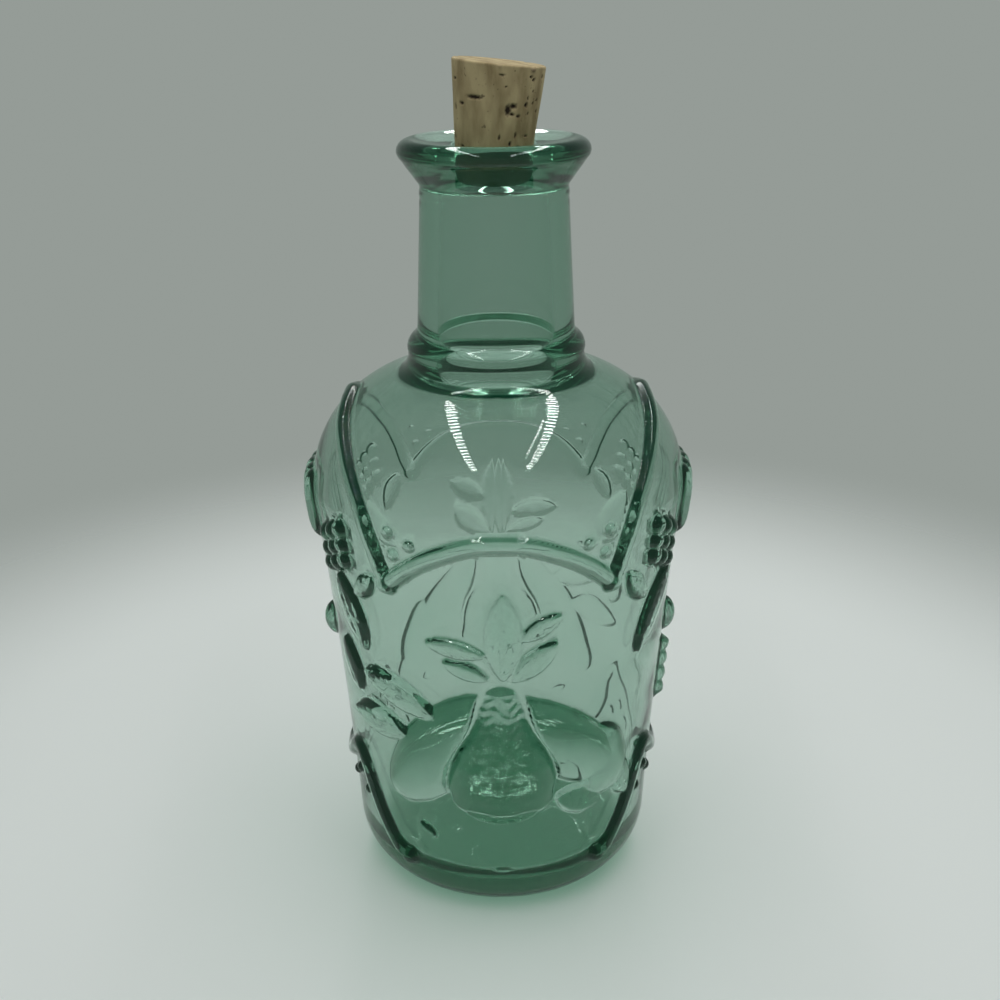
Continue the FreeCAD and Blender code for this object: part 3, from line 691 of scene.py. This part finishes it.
def glassMaterial():
    material, nodes, links = newMaterial("greenGlass")
    output = nodes.new("ShaderNodeOutputMaterial")
    glass = nodes.new("ShaderNodeBsdfPrincipled")
    glass.inputs["Base Color"].default_value = (1, 1, 1, 1)
    glass.inputs["Roughness"].default_value = 0.0
    glass.inputs["IOR"].default_value = glassFinish["ior"]
    glass.inputs["Transmission Weight"].default_value = 1.0
    bloom = nodes.new("ShaderNodeBsdfDiffuse")
    bloom.inputs["Color"].default_value = glassFinish["bloom"]
    hazy = nodes.new("ShaderNodeMixShader")
    hazy.inputs[0].default_value = glassFinish["bloomShare"]
    clear = nodes.new("ShaderNodeBsdfTransparent")
    clear.inputs["Color"].default_value = glassFinish["shadow"]
    rays = nodes.new("ShaderNodeLightPath")
    straight = nodes.new("ShaderNodeMath")             # shadow and diffuse rays pass straight through
    straight.operation = "MAXIMUM"
    mix = nodes.new("ShaderNodeMixShader")
    absorb = nodes.new("ShaderNodeVolumeAbsorption")
    absorb.inputs["Color"].default_value = glassFinish["absorb"]
    absorb.inputs["Density"].default_value = glassFinish["density"]
    links.new(glass.outputs[0], hazy.inputs[1])
    links.new(bloom.outputs[0], hazy.inputs[2])
    links.new(rays.outputs["Is Shadow Ray"], straight.inputs[0])
    links.new(rays.outputs["Is Diffuse Ray"], straight.inputs[1])
    links.new(straight.outputs[0], mix.inputs[0])
    links.new(hazy.outputs[0], mix.inputs[1])
    links.new(clear.outputs[0], mix.inputs[2])
    links.new(mix.outputs[0], output.inputs["Surface"])
    links.new(absorb.outputs[0], output.inputs["Volume"])
    return material


corkFinish = {
    "roughness": 0.85,
    "shine": 0.25,
    "stretch": (1, 1, 0.35),
    "grainScale": 220.0,
    "grainDetail": 6.0,
    "darkTone": (0.255, 0.195, 0.100, 1),
    "lightTone": (0.45, 0.365, 0.205, 1),
    "toneFrom": 0.35,
    "toneTo": 0.65,
    "speckScale": 700.0,
    "speckDetail": 3.0,
    "speckFrom": 0.66,
    "speckTo": 0.74,
    "speckDark": 0.55,
    # near-black for the pits and chips: the pores' own dark brown, deepened by painted shade in the pits,
    # and painted shade in the chips
    "poreAndShadeTone": (0.025, 0.016, 0.010, 1),
    "throatShadeFrom": 0.2478,        # metres: below this level the cork is painted dark, as painted shade inside the glass throat
    "throatShadeTo": 0.2460,
    "throatShadeShare": 0.85,
    "throatShadeTone": (0.03, 0.02, 0.015, 1),
    "bumpStrength": 0.35,
    "bumpHeight": 0.0004,
}


def corkMaterial():
    f = corkFinish
    material, nodes, links = newMaterial("naturalCork")
    output = nodes.new("ShaderNodeOutputMaterial")
    skin = nodes.new("ShaderNodeBsdfPrincipled")
    skin.inputs["Roughness"].default_value = f["roughness"]
    skin.inputs["Specular IOR Level"].default_value = f["shine"]
    coords = nodes.new("ShaderNodeTexCoord")
    stretch = nodes.new("ShaderNodeMapping")
    stretch.inputs["Scale"].default_value = f["stretch"]
    links.new(coords.outputs["Object"], stretch.inputs["Vector"])
    grain = nodes.new("ShaderNodeTexNoise")
    grain.inputs["Scale"].default_value = f["grainScale"]
    grain.inputs["Detail"].default_value = f["grainDetail"]
    links.new(stretch.outputs[0], grain.inputs["Vector"])
    tone = nodes.new("ShaderNodeValToRGB")
    tone.color_ramp.elements[0].position = f["toneFrom"]
    tone.color_ramp.elements[0].color = f["darkTone"]
    tone.color_ramp.elements[1].position = f["toneTo"]
    tone.color_ramp.elements[1].color = f["lightTone"]
    links.new(grain.outputs["Fac"], tone.inputs[0])
    specks = nodes.new("ShaderNodeTexNoise")
    specks.inputs["Scale"].default_value = f["speckScale"]
    specks.inputs["Detail"].default_value = f["speckDetail"]
    links.new(coords.outputs["Object"], specks.inputs["Vector"])
    speckRange = nodes.new("ShaderNodeMapRange")
    speckRange.inputs["From Min"].default_value = f["speckFrom"]
    speckRange.inputs["From Max"].default_value = f["speckTo"]
    speckRange.inputs["To Max"].default_value = f["speckDark"]
    links.new(specks.outputs["Fac"], speckRange.inputs["Value"])
    # the pit attribute paints pits and chips dark: the pores' own colour, with painted shade in the hollows
    pit = nodes.new("ShaderNodeAttribute")
    pit.attribute_name = "pit"
    darkness = nodes.new("ShaderNodeMath")
    darkness.operation = "MAXIMUM"
    links.new(pit.outputs["Fac"], darkness.inputs[0])
    links.new(speckRange.outputs[0], darkness.inputs[1])
    mix = nodes.new("ShaderNodeMix")
    mix.data_type = "RGBA"
    mix.inputs["B"].default_value = f["poreAndShadeTone"]
    links.new(darkness.outputs[0], mix.inputs["Factor"])
    links.new(tone.outputs[0], mix.inputs["A"])
    # painted shade: the cork is darkened below a level inside the throat, standing in for the shade inside
    # the glass there
    split = nodes.new("ShaderNodeSeparateXYZ")
    links.new(coords.outputs["Object"], split.inputs[0])
    throatShade = nodes.new("ShaderNodeMapRange")
    throatShade.interpolation_type = "SMOOTHSTEP"
    throatShade.inputs["From Min"].default_value = f["throatShadeFrom"]
    throatShade.inputs["From Max"].default_value = f["throatShadeTo"]
    throatShade.inputs["To Max"].default_value = f["throatShadeShare"]
    links.new(split.outputs["Z"], throatShade.inputs["Value"])
    shadedCork = nodes.new("ShaderNodeMix")
    shadedCork.data_type = "RGBA"
    shadedCork.inputs["B"].default_value = f["throatShadeTone"]
    links.new(throatShade.outputs[0], shadedCork.inputs["Factor"])
    links.new(mix.outputs["Result"], shadedCork.inputs["A"])
    links.new(shadedCork.outputs["Result"], skin.inputs["Base Color"])
    bump = nodes.new("ShaderNodeBump")
    bump.inputs["Strength"].default_value = f["bumpStrength"]
    bump.inputs["Distance"].default_value = f["bumpHeight"]
    links.new(grain.outputs["Fac"], bump.inputs["Height"])
    links.new(bump.outputs[0], skin.inputs["Normal"])
    links.new(skin.outputs[0], output.inputs["Surface"])
    return material


cork = {
    "length": 30.0,
    "topRadius": 14.0,
    "tipRadius": 11.25,
    "below": 4.6,              # from the top of the throat down to the tip
    "tilt": 4.2,
    "cutSlope": 2.2,           # the top is cut a little askew
    "cutFade": 6,
    "edge": 0.5,
    "around": 300,
    "rings": 96,
    "capRings": 14,
    "mergeWithin": 0.005,
    "capMargin": 0.05,         # pits stay this far from the flat ends
    "swell": (0.06, 0.04),
    "pitDeep": 0.55,
    "pitRagged": 0.35,
    "pits": [                  # azimuth from the front, depth below the top, width, height
        (-31, 9.6, 5.8, 1.2), (-52, 11.7, 2.4, 0.9), (-68, 5.2, 2.0, 0.6), (-69, 13.1, 1.2, 1.8),
        (4, 2.9, 1.8, 0.6), (10, 6.0, 0.7, 0.6), (15, 12.6, 2.2, 3.4), (22, 11.4, 2.6, 1.5),
        (21, 13.7, 1.6, 1.0), (30, 14.2, 1.7, 0.8), (44, 3.0, 1.2, 0.9), (49, 3.8, 1.3, 1.2),
        (69, 3.0, 1.3, 1.2), (51, 7.1, 0.9, 0.6), (43, 9.1, 0.6, 1.2), (41, 11.0, 1.5, 1.5),
        (54, 10.5, 0.8, 0.9), (62, 9.7, 1.0, 0.9), (46, 13.4, 0.6, 1.0), (66, 12.9, 1.1, 0.9),
        (6, 20.4, 0.7, 1.5), (22, 22.1, 1.0, 1.5), (29, 19.6, 0.7, 1.8), (35, 23.1, 1.4, 0.9),
        (48, 19.8, 1.8, 0.5), (-31, 24.4, 8.9, 0.9), (-53, 23.8, 1.9, 0.7), (-74, 21.7, 1.6, 1.2),
        (100, 8.0, 2.6, 1.2), (118, 15.5, 1.4, 2.2), (137, 5.2, 4.4, 1.0), (152, 12.0, 2.0, 1.6),
        (171, 18.6, 1.3, 2.0), (190, 7.4, 3.0, 1.4), (206, 14.6, 1.2, 1.0), (223, 20.2, 2.8, 1.0),
        (238, 10.8, 1.6, 2.4), (261, 4.6, 1.4, 0.9),
    ],
    "chips": [                 # azimuth, width, depth
        (46, 2.6, 0.9), (1, 1.5, 0.35), (140, 2.2, 0.6), (-110, 3.0, 0.5),
    ],
    "chipFrom": (0.86, 0.93),  # share of the radius and of the length where the rim's chips start
    "chipOver": (0.1, 0.06),
    # how dark the chipped rim is painted: painted shade in the chips
    "chipShade": 0.9,
}


def corkOutline():
    reach = np.linspace(0, cork["length"], cork["rings"])
    edge = cork["edge"]
    radii = cork["tipRadius"] + (cork["topRadius"] - cork["tipRadius"]) * reach / cork["length"]
    fromEnd = np.minimum(reach, cork["length"] - reach)
    radii = radii - edge * (1 - np.sqrt(1 - np.clip(1 - fromEnd / edge, 0, 1) ** 2))
    cap = np.linspace(0, 1, cork["capRings"])
    outline = [(radii[0] * share, 0) for share in cap[:-1]]
    outline += list(zip(radii, reach))
    outline += [(radii[-1] * share, cork["length"]) for share in cap[-2::-1]]
    return outline


def pitDepth(azimuth, down):
    # How deep in a pit each place on the cork's side lies, from 0 to 1.
    depth = np.zeros(azimuth.shape)
    for number, (turn, below, width, height) in enumerate(cork["pits"]):
        across = np.radians(turnFrom(azimuth, turn)) * cork["topRadius"]
        along = down - below
        ragged = 1 + cork["pitRagged"] * np.sin(across * 4.1 + number * 2.3) * np.cos(along * 5.3 + number)
        reach = (across / (width / 2)) ** 2 + (along / (height / 2)) ** 2
        depth = np.maximum(depth, np.clip(1.25 - reach * ragged, 0, 1))
    return depth


def chipDepth(azimuth, share, upper):
    # How far the chipped rim of the cork's top drops, in millimetres.
    chip = np.zeros(len(azimuth))
    for turn, width, depth in cork["chips"]:
        across = np.radians(turnFrom(azimuth, turn)) * cork["topRadius"]
        rim = np.clip((share - cork["chipFrom"][0]) / cork["chipOver"][0], 0, 1)
        rim = rim * np.clip((upper - cork["chipFrom"][1]) / cork["chipOver"][1], 0, 1)
        chip = np.maximum(chip, depth * np.clip(1 - (2 * across / width) ** 2, 0, 1) * rim)
    return chip


def wearCork(bm):
    # Pits, slight swelling, a slanted cut and chips, with the pits and chips kept as an attribute: pits
    # painted dark as the cork's own dark pores deepened by painted shade, chips painted dark as painted
    # shade.
    places = coordinates(bm)
    azimuth = np.degrees(np.arctan2(places[:, 0], -places[:, 1]))
    radius = np.hypot(places[:, 0], places[:, 1])
    level = places[:, 2]
    share = radius / cork["topRadius"]
    upper = level / cork["length"]
    onSide = (level > cork["capMargin"]) & (level < cork["length"] - cork["capMargin"])
    pit = np.where(onSide, pitDepth(azimuth, cork["length"] - level), 0)
    turns = np.radians(azimuth)
    swell = cork["swell"][0] * np.sin(turns * 5 + level * 0.31)
    swell = swell + cork["swell"][1] * np.sin(turns * 9 - level * 0.2)
    slope = math.tan(math.radians(cork["cutSlope"])) * places[:, 0] * upper ** cork["cutFade"]
    chip = chipDepth(azimuth, share, upper)
    worn = radius - (cork["pitDeep"] * pit - swell) * (radius > 1) * share
    layer = bm.verts.layers.float.new("pit")
    for vert, r, z, a, cut, dark in zip(bm.verts, worn, level - slope - chip, turns, chip, pit):
        vert.co = Vector((r * math.sin(a), -r * math.cos(a), z)) * mm
        vert[layer] = max(float(dark), min(1.0, float(cut) * cork["chipShade"]))


def makeCork(material):
    bm = turnOutline(corkOutline(), cork["around"], cork["mergeWithin"])
    wearCork(bm)
    lean = Matrix.Rotation(math.radians(cork["tilt"]), 4, "Y")
    bmesh.ops.translate(bm, verts=bm.verts, vec=(0, 0, -cork["below"] * mm))
    bmesh.ops.transform(bm, matrix=Matrix.Translation((0, 0, throatTop() * mm)) @ lean, verts=bm.verts)
    finishPiece(bm, "corkStopper", material, "cork")


stage = {
    "paper": (0.80, 0.84, 0.82, 1),
    "paperRoughness": 0.8,
    "paperShine": 0.2,
    "floorRadius": 0.60,
    "floorSides": 96,
    "fadeStart": 0.22,
    "fadeEnd": 0.44,
    "backdrop": (0.300, 0.331, 0.309, 1),
    "overhead": (0.165, 0.182, 0.174, 1),
    "overheadFrom": 0.10,      # height of the view's direction, 0 level and 1 straight up
    "overheadTo": 0.65,
    "frontShare": 0.8,         # brightness in front of the bottle, as reflections see it
    "frontFrom": -0.75,
    "frontTo": 0.15,
}


def makeFloor():
    bm = bmesh.new()
    bmesh.ops.create_circle(bm, cap_ends=True, segments=stage["floorSides"], radius=stage["floorRadius"])
    mesh = bpy.data.meshes.new("floor")
    bm.to_mesh(mesh)
    bm.free()
    floor = bpy.data.objects.new("floor", mesh)
    bpy.context.collection.objects.link(floor)
    material, nodes, links = newMaterial("paleFloor")
    output = nodes.new("ShaderNodeOutputMaterial")
    paper = nodes.new("ShaderNodeBsdfPrincipled")
    paper.inputs["Base Color"].default_value = stage["paper"]
    paper.inputs["Roughness"].default_value = stage["paperRoughness"]
    paper.inputs["Specular IOR Level"].default_value = stage["paperShine"]
    coords = nodes.new("ShaderNodeTexCoord")
    length = nodes.new("ShaderNodeVectorMath")
    length.operation = "LENGTH"
    fade = nodes.new("ShaderNodeMapRange")
    fade.interpolation_type = "SMOOTHSTEP"
    fade.inputs["From Min"].default_value = stage["fadeStart"]
    fade.inputs["From Max"].default_value = stage["fadeEnd"]
    fade.inputs["To Min"].default_value = 1.0
    fade.inputs["To Max"].default_value = 0.0
    links.new(coords.outputs["Object"], length.inputs[0])
    links.new(length.outputs["Value"], fade.inputs["Value"])
    links.new(fade.outputs[0], paper.inputs["Alpha"])
    links.new(paper.outputs[0], output.inputs["Surface"])
    mesh.materials.append(material)


def makeWorld():
    world = bpy.data.worlds.new("studio")
    bpy.context.scene.world = world
    world.use_nodes = True
    nodes, links = world.node_tree.nodes, world.node_tree.links
    background = nodes["Background"]
    coords = nodes.new("ShaderNodeTexCoord")
    split = nodes.new("ShaderNodeSeparateXYZ")
    links.new(coords.outputs["Generated"], split.inputs[0])
    height = nodes.new("ShaderNodeMapRange")
    height.interpolation_type = "SMOOTHSTEP"
    height.inputs["From Min"].default_value = stage["overheadFrom"]
    height.inputs["From Max"].default_value = stage["overheadTo"]
    links.new(split.outputs["Z"], height.inputs["Value"])
    tone = nodes.new("ShaderNodeMix")
    tone.data_type = "RGBA"
    tone.inputs["A"].default_value = stage["backdrop"]
    tone.inputs["B"].default_value = stage["overhead"]
    links.new(height.outputs[0], tone.inputs["Factor"])
    front = nodes.new("ShaderNodeMapRange")
    front.interpolation_type = "SMOOTHSTEP"
    front.inputs["From Min"].default_value = stage["frontFrom"]
    front.inputs["From Max"].default_value = stage["frontTo"]
    front.inputs["To Min"].default_value = stage["frontShare"]
    front.inputs["To Max"].default_value = 1.0
    links.new(split.outputs["Y"], front.inputs["Value"])
    rays = nodes.new("ShaderNodeLightPath")
    strength = nodes.new("ShaderNodeMath")
    strength.operation = "MAXIMUM"
    links.new(front.outputs[0], strength.inputs[0])
    links.new(rays.outputs["Is Camera Ray"], strength.inputs[1])
    links.new(tone.outputs["Result"], background.inputs["Color"])
    links.new(strength.outputs[0], background.inputs["Strength"])


lamps = {                      # metres
    "glow": 27.0,
    "height": 0.62,
    "barStep": 0.030,
    "barLength": 0.010,
    "barUneven": 0.16,
    "rows": {                  # x at the widest, where along y that is, and how the row bows inward
        "stripLeft": {"widest": -0.152, "widestAt": -0.17, "bow": 0.15,
                      "front": -0.43, "back": 0.82, "width": 0.037},
        "stripRight": {"widest": 0.192, "widestAt": -0.15, "bow": -0.225,
                       "front": -0.42, "back": 0.80, "width": 0.039},
        "stripInner": {"widest": 0.150, "widestAt": 0.03, "bow": -0.17,
                       "front": -0.26, "back": 0.06, "width": 0.009},
    },
    "softTop": {"size": 1.3, "energy": 3.3, "place": (0, -0.25, 1.0)},
}


def makeStrip(name, row, material):
    # A long bowed row of short lamp bars overhead, seen only in reflections.
    bm = bmesh.new()
    for start in np.arange(row["front"], row["back"], lamps["barStep"]):
        end = start + lamps["barLength"]
        corners = []
        for y, side in ((start, -1), (start, 1), (end, 1), (end, -1)):
            uneven = 1 + lamps["barUneven"] * math.sin(start * 91.0 + side)
            middle = row["widest"] + row["bow"] * (y - row["widestAt"]) ** 2
            x = middle + side * row["width"] * uneven / 2
            corners.append(bm.verts.new((x, y, lamps["height"])))
        bm.faces.new(corners)
    mesh = bpy.data.meshes.new(name)
    bm.to_mesh(mesh)
    bm.free()
    strip = bpy.data.objects.new(name, mesh)
    bpy.context.collection.objects.link(strip)
    mesh.materials.append(material)
    strip.visible_camera = False


def stripMaterial():
    material, nodes, links = newMaterial("lampRows")
    output = nodes.new("ShaderNodeOutputMaterial")
    glow = nodes.new("ShaderNodeEmission")
    glow.inputs["Strength"].default_value = lamps["glow"]
    links.new(glow.outputs["Emission"], output.inputs["Surface"])
    return material


def makeLights():
    material = stripMaterial()
    for name, row in lamps["rows"].items():
        makeStrip(name, row, material)
    soft = lamps["softTop"]
    light = bpy.data.lights.new("softTop", "AREA")
    light.size = soft["size"]
    light.energy = soft["energy"]
    lamp = bpy.data.objects.new("softTop", light)
    lamp.location = soft["place"]
    lamp.visible_glossy = False
    lamp.visible_transmission = False
    bpy.context.collection.objects.link(lamp)


view = {
    "place": (0, -0.393144, 0.292433),
    "pitch": 22.19,
    "roll": -0.761,
    "lens": 45.73,
    "sensor": 36,
    "shift": 0.0016,
    "near": 0.01,
}


def makeCamera():
    data = bpy.data.cameras.new("camera")
    data.lens = view["lens"]
    data.sensor_width = view["sensor"]
    data.shift_x = view["shift"]
    data.clip_start = view["near"]
    camera = bpy.data.objects.new("camera", data)
    look = Matrix.Rotation(math.radians(90 - view["pitch"]), 4, "X")
    roll = Matrix.Rotation(math.radians(view["roll"]), 4, "Z")
    camera.matrix_world = Matrix.Translation(view["place"]) @ look @ roll
    bpy.context.collection.objects.link(camera)
    bpy.context.scene.camera = camera


bpy.context.scene.view_settings.view_transform = "Standard"
print("stage 1: frame loaded")
makeBottle(glassMaterial())
print("stage 2: bottle made")
makeCork(corkMaterial())
print("stage 3: cork made")
makeFloor()
makeWorld()
makeLights()
makeCamera()
print("stage 4: stage and lights made")
